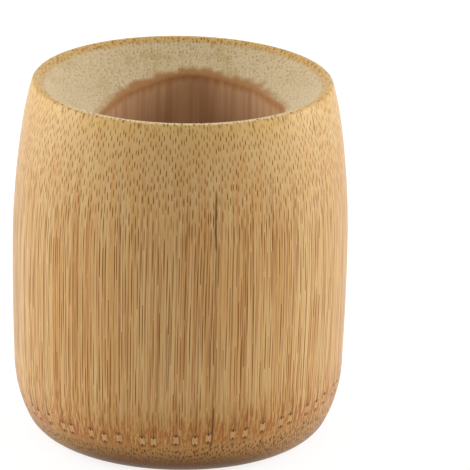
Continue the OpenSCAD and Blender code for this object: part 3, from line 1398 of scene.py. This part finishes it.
@dataclass
class TurnedWall:
    """Wall of the culm as it comes off the lathe, open for the hollows and the strands."""

    pocket_gap: float = 0.03 * MM
    overrun: float = 1 * MM
    lip_r: float = 26.2 * MM
    front: Strip = Strip(0.57, 0.99, -5 * MM, 68 * MM)
    back: Strip = Strip(0.15, 0.57, -5 * MM, 68 * MM)
    mouth: Strip = Strip(0.055, 0.143, 13.5 * MM, 26.3 * MM)
    sole: Strip = Strip(0.012, 0.05, 12 * MM, 24 * MM)
    hidden: Strip = Strip(0.0, 0.008, 0.0, BARREL.cup_h)

    def solid(self) -> bpy.types.Object:
        """Turns the solid barrel."""
        return Bench.lathe("barrel", BARREL.outline(), TURNED_SEGMENTS)

    def prism(self, hollow: Hollow, extra: float, bottom: float, top: float) -> bpy.types.Object:
        """Makes an upright tool in the shape of a hollow.

        Args:
            hollow: The natural hollow.
            extra: How much wider the tool is.
            bottom: Lower end of the tool.
            top: Upper end of the tool.

        Returns:
            The tool.
        """
        wide = hollow.radius + extra
        outline = [(0, bottom), (wide, bottom), (wide, top), (0, top)]
        tool = Bench.lathe("tool", outline, HOLLOW_SEGMENTS)

        def rule(at: Vector) -> Vector:
            """Moves a point of the round tool out or in to the hollow's form.

            Args:
                at: Place of the point on the turned form.

            Returns:
                Its new place.
            """
            angle = math.atan2(at.y, at.x)
            share = math.hypot(at.x, at.y) / wide
            return hollow.spot((hollow.reach(angle) + extra) * share, angle, at.z)

        Bench.settle(tool, rule)
        return tool

    def build(self, solid: bpy.types.Object, pockets: bpy.types.Object) -> Dressed:
        """Cuts the wall from the solid barrel.

        Args:
            solid: The turned barrel. It becomes the wall.
            pockets: The spaces of the strand ends, as one tool.

        Returns:
            The dressed wall.
        """
        over = self.overrun
        for tool in (
            self.prism(CAVITY, FOOT.pith_t, FOOT.recess_h, BARREL.cup_h + over),
            self.prism(RECESS, 0, -over, FOOT.recess_h + over),
            pockets,
        ):
            Bench.cut(solid, tool, Cut.TAKE_OUT)
        solid.name = "turned_wall"
        Bench.finish(solid, 32, BambooWood().material())
        Bench.lay_map(solid, self.on_map)
        return Dressed(solid, "culm_wall", Slot.WOOD)

    def on_map(self, middle: Vector, normal: Vector, corner: Vector) -> Point:
        """Lays the side out in two strips, and the flare, the sole and hidden faces in one each.

        Args:
            middle: Middle of a face.
            normal: Normal of the face.
            corner: Place of one of its corners.

        Returns:
            Place of the corner on the map.
        """
        far, half_way = corner.xy.length, BARREL.belly_r
        if middle.xy.length > self.lip_r:
            strip, start = (self.front, math.pi) if middle.y < 0 else (self.back, 0.0)
            rise = corner.z + math.copysign((BARREL.belly_r - far) / 2, corner.z - half_way)
            return (Bench.round_share(middle, corner, start, math.pi), strip.at(rise))
        share = Bench.round_share(middle, corner, -math.pi, math.tau)
        if normal.z > 0.1 and middle.z > half_way:
            return (share, self.mouth.at(far))
        if normal.z < -0.5 and middle.z < 2 * MM:
            return (share, self.sole.at(far))
        return (share, self.hidden.at(corner.z))


@dataclass
class LiningSkin:
    """Pith skin of the upper hollow, with fine ridges and a soft edge where the flare cuts it."""

    soft: float = 0.5 * MM
    levels: int = 14
    soft_steps: int = 5
    top_steps: int = 4
    straight_top: float = 52 * MM
    drawn_top: float = 1.0
    seam_share: float = 0.7
    mouth: Strip = Strip(0.06, 0.14, 0.0, 1.0)
    inner: Strip = Strip(0.02, 0.99, 0.0, BARREL.cup_h)
    hidden: Strip = Strip(0.0, 0.05, 0.0, BARREL.cup_h)

    def outline(self, rim_z: float) -> list[Point]:
        """Closed outline of the skin.

        Args:
            rim_z: Height of the seam with the node.

        Returns:
            Distance beyond the hollow's edge, and height. The heights near drawn_top, far above
            the cup, are told from the flare instead.
        """
        lift, pith_t = self.drawn_top, FOOT.pith_t
        rise = (self.straight_top - rim_z) / self.levels
        points = [(0.0, rim_z + rise * i) for i in range(self.levels + 1)]
        for i in range(self.soft_steps + 1):
            t = i / self.soft_steps
            points.append((self.soft * t * t, lift - self.soft * (1 - t) ** 2))
        flat = (pith_t - self.soft) / self.top_steps
        points += [(self.soft + flat * i, lift) for i in range(1, self.top_steps + 1)]
        return points + [(pith_t, rim_z), (self.seam_share * pith_t, rim_z)]

    def rule(self, at: Vector) -> Vector:
        """Moves a point of the round skin to the hollow's form, and its top on to the flare.

        Args:
            at: Place of the point on the turned form.

        Returns:
            Its new place.
        """
        angle = math.atan2(at.y, at.x)
        out = math.hypot(at.x, at.y) - CAVITY.radius
        reach = CAVITY.reach(angle) + out + CAVITY.fine(angle) * (1 - out / FOOT.pith_t)
        place = CAVITY.spot(reach, angle, at.z)
        if at.z > self.drawn_top / 2:
            place.z += BARREL.flare_z(place.xy.length) - self.drawn_top
        return place

    def build(self, rim_z: float) -> Dressed:
        """Builds the skin.

        Args:
            rim_z: Height of the seam with the node.

        Returns:
            The dressed skin.
        """
        points = [(CAVITY.radius + out, z) for out, z in self.outline(rim_z)]
        piece = Bench.natural("pith_skin", points, self.rule, closed=True)
        Bench.finish(piece, 48, PithSkin().material("pith", CAVITY))
        Bench.lay_map(piece, self.on_map)
        return Dressed(piece, "pith_lining", Slot.PITH)

    def on_map(self, middle: Vector, normal: Vector, corner: Vector) -> Point:
        """Lays the skin out in strips: its inner side, its soft top and what is hidden.

        Args:
            middle: Middle of a face.
            normal: Normal of the face.
            corner: Place of one of its corners.

        Returns:
            Place of the corner on the map.
        """
        middle, corner = CAVITY.from_middle(middle), CAVITY.from_middle(corner)
        share = Bench.round_share(middle, corner, -math.pi, math.tau)
        if normal.z > 0.3:
            edge = CAVITY.reach(math.atan2(corner.y, corner.x))
            return (share, self.mouth.at((corner.xy.length - edge) / FOOT.pith_t))
        strip = self.inner if middle.xy.normalized().dot(normal.xy) < 0 else self.hidden
        return (share, strip.at(corner.z))


@dataclass
class NodeFloor:
    """Woody plate of the node: the floor of the cup, its rolled edge and its hollowed underside."""

    floor_steps: int = 24
    under_steps: int = 12
    floor_spread: float = 0.7
    under_spread: float = 0.85
    floor_mark: float = 1.0
    under_mark: float = 2.0
    floor_disc: float = 88 * MM
    under_disc: float = 84 * MM

    @property
    def cavity_reach(self) -> float:
        """Radius at which the fillet of the floor stands upright."""
        return CAVITY.radius + CAVITY.lobe + CAVITY.ripple + FOOT.fillet_spare

    @property
    def fillet_turn(self) -> float:
        """Slope at which the floor's dish meets its fillet."""
        reach = FOOT.floor_arc - FOOT.floor_fillet
        return math.asin((self.cavity_reach - FOOT.floor_fillet) / reach)

    @property
    def fillet_centre(self) -> Point:
        """Middle of the fillet between the floor and the side."""
        reach, turn = FOOT.floor_arc - FOOT.floor_fillet, self.fillet_turn
        return (reach * math.sin(turn), FOOT.floor_z + FOOT.floor_arc - reach * math.cos(turn))

    @property
    def rim_z(self) -> float:
        """Height of the seam with the pith skin."""
        return self.fillet_centre[1]

    def floor_z(self, radius: float) -> float:
        """Height of the floor at a distance from the hollow's middle.

        Args:
            radius: The distance.

        Returns:
            The height.
        """
        if radius < FOOT.floor_arc * math.sin(self.fillet_turn):
            return FOOT.floor_z + FOOT.floor_arc - math.sqrt(FOOT.floor_arc**2 - radius**2)
        r, z = self.fillet_centre
        return z - math.sqrt(max(FOOT.floor_fillet**2 - (radius - r) ** 2, 0.0))

    def under_z(self, at: Vector) -> float:
        """Height of the hollowed underside over a place.

        Args:
            at: The place.

        Returns:
            The height.
        """
        reach = RECESS.radius - FOOT.recess_pith_t - (RECESS.lobe + RECESS.ripple) * RECESS.share
        crown = FOOT.recess_crown
        sphere = (reach**2 + crown**2) / (2 * crown)
        off = RECESS.from_middle(at).xy.length
        if off >= reach:
            return FOOT.recess_h
        return FOOT.recess_h + crown - sphere + math.sqrt(sphere**2 - off**2)

    def outline(self) -> list[Point]:
        """Half outline of the plate.

        Returns:
            Radius and height of each point. The heights floor_mark and under_mark, far above the
            cup, only mark the points that the rule gives their real height.
        """
        wide = CAVITY.radius
        edge = wide + FOOT.pith_t
        points = [(0.0, self.under_mark)]
        for i in range(1, self.under_steps + 1):
            points.append((edge * (i / self.under_steps) ** self.under_spread, self.under_mark))
        points += [(edge, self.rim_z), (wide, self.rim_z)]
        points.append((wide, (self.rim_z + self.floor_z(wide)) / 2))
        for i in range(self.floor_steps, 0, -1):
            points.append((wide * (i / self.floor_steps) ** self.floor_spread, self.floor_mark))
        return points + [(0.0, self.floor_mark)]

    def rule(self, at: Vector) -> Vector:
        """Moves a point of the round plate to the hollow's form and to its real height.

        Args:
            at: Place of the point on the turned form.

        Returns:
            Its new place.
        """
        angle, far, wide = math.atan2(at.y, at.x), math.hypot(at.x, at.y), CAVITY.radius
        inner = CAVITY.reach(angle) + CAVITY.fine(angle)
        outer = CAVITY.reach(angle) + FOOT.pith_t
        under = at.z > (self.floor_mark + self.under_mark) / 2
        if under:
            reach = outer * far / (wide + FOOT.pith_t)
        elif far > wide:
            reach = inner + (outer - inner) * (far - wide) / FOOT.pith_t
        else:
            reach = inner * far / wide
        place = CAVITY.spot(reach, angle, at.z)
        if under:
            place.z = self.under_z(place)
        elif at.z > self.floor_mark / 2:
            place.z = self.floor_z(min(reach, self.cavity_reach))
        place.z = min(place.z, self.rim_z)
        return place

    def build(self) -> Dressed:
        """Builds the plate.

        Returns:
            The dressed plate.
        """
        piece = Bench.natural("node_floor", self.outline(), self.rule, closed=False)
        Bench.finish(piece, 50, NodeWood().material())
        Bench.lay_map(piece, self.on_map)
        return Dressed(piece, "node_diaphragm", Slot.NODE)

    def on_map(self, middle: Vector, normal: Vector, corner: Vector) -> Point:
        """Lays the plate out: the floor and the underside as discs, and its edge as a strip.

        Args:
            middle: Middle of a face.
            normal: Normal of the face.
            corner: Place of one of its corners.

        Returns:
            Place of the corner on the map.
        """
        middle, corner = CAVITY.from_middle(middle), CAVITY.from_middle(corner)
        x, y = corner.xy
        if normal.z < -0.3:
            return (0.75 + x / self.under_disc, 0.75 + y / self.under_disc)
        if middle.z < self.rim_z - 0.01 * MM and middle.xy.normalized().dot(normal.xy) < 0.5:
            spread = 1 + 0.7 * (corner.z - FOOT.floor_z) / max(corner.xy.length, MM)
            return (0.25 + spread * x / self.floor_disc, 0.75 + spread * y / self.floor_disc)
        share = Bench.round_share(middle, corner, -math.pi, math.tau)
        return (share, 0.4 * (corner.z - FOOT.recess_h) / self.rim_z)


@dataclass
class StrandEnds:
    """Ends of the strands that cross the wall at the node, each with its two open pores."""

    overrun: float = 1 * MM
    sides: int = 40
    pore_sides: int = 24

    def plugs(self, grow: float) -> bpy.types.Object:
        """Makes the plugs of all the strand ends, which still stand proud of the side.

        Args:
            grow: How much wider each plug is all round than the strand end.

        Returns:
            The plugs as one piece, each oval, with its long way upright.
        """
        length = RING.depth + self.overrun + grow
        piece = Bench.rod(self.sides, RING.width / 2 + grow, length)
        piece.data.transform(Matrix.Rotation(math.pi / self.sides, 4, "Z"))
        for sign in (-1, 1):
            with Bench.editing(piece):
                bpy.ops.mesh.select_all(action="DESELECT")
                bpy.ops.object.mode_set(mode="OBJECT")
                for vertex in piece.data.vertices:
                    vertex.select = vertex.co.x * sign > 0
                bpy.ops.object.mode_set(mode="EDIT")
                bpy.ops.transform.translate(value=(RING.half * sign, 0, 0))
        piece.data.transform(Matrix.Rotation(math.pi / 2, 4, "Y"))
        piece.data.transform(Matrix.Translation((length / 2 - grow, 0, 0)))
        places = []
        for i in range(RING.count):
            z = RING.z(i)
            places.append(RING.place(i, BARREL.side_radius(z) - RING.depth, z))
        return Bench.copies(piece, places)

    def pores(self) -> bpy.types.Object:
        """Makes the two pores of every strand end, as one tool.

        Returns:
            The tool.
        """
        length = RING.pore_t + self.overrun
        one = Bench.rod(self.pore_sides, RING.pore_d / 2, length)
        one.data.transform(Matrix.Rotation(math.pi / 2, 4, "Y"))
        places = []
        for i in range(RING.count):
            for side in (-1, 1):
                z = RING.z(i) + side * RING.pore_gap / 2
                places.append(RING.place(i, BARREL.side_radius(z) - RING.pore_t + length / 2, z))
        return Bench.copies(one, places)

    def build(self, barrel: bpy.types.Object) -> Dressed:
        """Builds the strand ends.

        Args:
            barrel: The solid barrel, which turns them flush with the side.

        Returns:
            The dressed strand ends.
        """
        piece = self.plugs(0.0)
        piece.name = "strand_ends"
        Bench.cut(piece, barrel, Cut.KEEP_INSIDE, keep=True)
        Bench.cut(piece, self.pores(), Cut.TAKE_OUT)
        Bench.finish(piece, 32, StrandEnd().material())
        return Dressed(piece, "node_traces", Slot.STRAND)


@dataclass
class RecessSkin:
    """Thin pith skin round the recess under the node."""

    round_r: float = 0.25 * MM
    round_steps: int = 4

    def outline(self) -> list[Point]:
        """Closed outline of the skin.

        Returns:
            Distance beyond the recess's edge, and height.
        """
        low, high = FOOT.recess_pith_gap, FOOT.recess_h
        inner = -FOOT.recess_pith_t
        corner = (inner + self.round_r, low + self.round_r)
        points = [(inner, high), (inner, (high + low) / 2)]
        for i in range(self.round_steps + 1):
            turn = math.pi + math.pi / 2 * i / self.round_steps
            points.append(polar(corner, self.round_r, turn))
        return points + [(0.0, low), (0.0, high)]

    def rule(self, at: Vector) -> Vector:
        """Moves a point of the round skin to the recess's form.

        Args:
            at: Place of the point on the turned form.

        Returns:
            Its new place.
        """
        angle = math.atan2(at.y, at.x)
        out = math.hypot(at.x, at.y) - RECESS.radius
        return RECESS.spot(RECESS.reach(angle) + out, angle, at.z)

    def build(self) -> Dressed:
        """Builds the skin as a closed ring with a rounded lower edge.

        Returns:
            The dressed skin.
        """
        points = [(RECESS.radius + out, z) for out, z in self.outline()]
        piece = Bench.natural("recess_skin", points, self.rule, closed=True)
        Bench.finish(piece, 40, PithSkin().material("recess_pith", RECESS))
        return Dressed(piece, "recess_lining", Slot.PITH)


# Studio


@dataclass(frozen=True)
class Panel:
    """Soft square-topped lamp: where it hangs, in degrees, its power in watts and its width."""

    turn: float
    rise: float
    power: float
    size: float


@dataclass
class Studio:
    """Plain pale floor, soft light from both sides and the camera at the photograph's angle."""

    floor_r: float = 0.9
    distance: float = 870 * MM
    rise: float = math.radians(19.24)
    roll: float = math.radians(1.17)
    aim: Point = (9.80 * MM, 35.85 * MM)
    focal_px: float = 4856
    picture_px: float = 470
    sensor: float = 36
    sky: float = 0.41
    panel_away: float = 0.8
    panel_aim: float = 30 * MM
    panels: tuple[Panel, ...] = (
        Panel(-100, 20, 5.5, 0.5),
        Panel(100, 20, 5.5, 0.5),
        Panel(0, 30, 0.25, 0.4),
        Panel(180, 14, 1.0, 0.6),
    )

    def hang(self, name: str, data: bpy.types.ID) -> bpy.types.Object:
        """Adds a camera or a lamp to the scene.

        Args:
            name: Name of the object.
            data: Data of the camera or the lamp.

        Returns:
            The object.
        """
        made = bpy.data.objects.new(name, data)
        bpy.context.scene.collection.objects.link(made)
        return made

    def camera(self) -> None:
        """Sets the camera."""
        data = bpy.data.cameras.new("camera")
        data.lens = self.focal_px * self.sensor / self.picture_px
        data.sensor_width = self.sensor
        data.clip_start = 0.05
        view = self.hang("camera", data)
        side, height = self.aim
        back, up = math.cos(self.rise) * self.distance, math.sin(self.rise) * self.distance
        view.location = (side, -back, height + up)
        turn = Matrix.Rotation(math.pi / 2 - self.rise, 4, "X") @ Matrix.Rotation(self.roll, 4, "Z")
        view.rotation_euler = turn.to_euler()
        bpy.context.scene.camera = view

    def floor(self) -> None:
        """Lays the floor."""
        Bench.clear()
        bpy.ops.mesh.primitive_circle_add(
            vertices=96, radius=self.floor_r, fill_type="NGON", location=(0, 0, 0)
        )
        ground = bpy.context.object
        ground.name = "floor"
        look = {
            "Base Color": (0.3, 0.3, 0.3, 1),
            "Roughness": 0.8,
            "Specular IOR Level": 0.1,
            "Emission Color": (1, 1, 1, 1),
            "Emission Strength": 0.8,
        }
        ground.data.materials.append(Drawing("pale_floor").end(look))

    def lights(self) -> None:
        """Hangs soft panels round the cup and fills with a white sky."""
        middle = Vector((0, 0, self.panel_aim))
        for panel in self.panels:
            turn = Matrix.Rotation(math.radians(panel.turn), 3, "Z")
            rise = Matrix.Rotation(-math.radians(panel.rise), 3, "X")
            way = turn @ rise @ Vector((0, -1, 0))
            data = bpy.data.lights.new("panel", "AREA")
            data.shape = "RECTANGLE"
            data.size = panel.size
            data.size_y = panel.size * 1.2
            data.energy = panel.power
            lamp = self.hang("panel", data)
            lamp.location = middle + way * self.panel_away
            lamp.rotation_euler = way.to_track_quat("Z", "Y").to_euler()
        world = bpy.data.worlds.new("white_sky")
        bpy.context.scene.world = world
        world.use_nodes = True
        sky = world.node_tree.nodes["Background"].inputs
        sky["Color"].default_value = (1, 1, 1, 1)
        sky["Strength"].default_value = self.sky

    def set_up(self) -> None:
        """Sets the whole studio."""
        bpy.context.scene.view_settings.view_transform = "Standard"
        self.camera()
        self.floor()
        self.lights()


def main() -> None:
    """Builds the cup piece by piece and reports each."""
    logging.basicConfig(level=logging.INFO, format="%(message)s")
    Studio().set_up()
    wall, strands, floor = TurnedWall(), StrandEnds(), NodeFloor()
    solid = wall.solid()
    dressed = [
        strands.build(solid),
        wall.build(solid, strands.plugs(wall.pocket_gap)),
        LiningSkin().build(floor.rim_z),
        floor.build(),
        RecessSkin().build(),
    ]
    for one in dressed:
        one.hand_over()


if __name__ == "__main__":
    main()
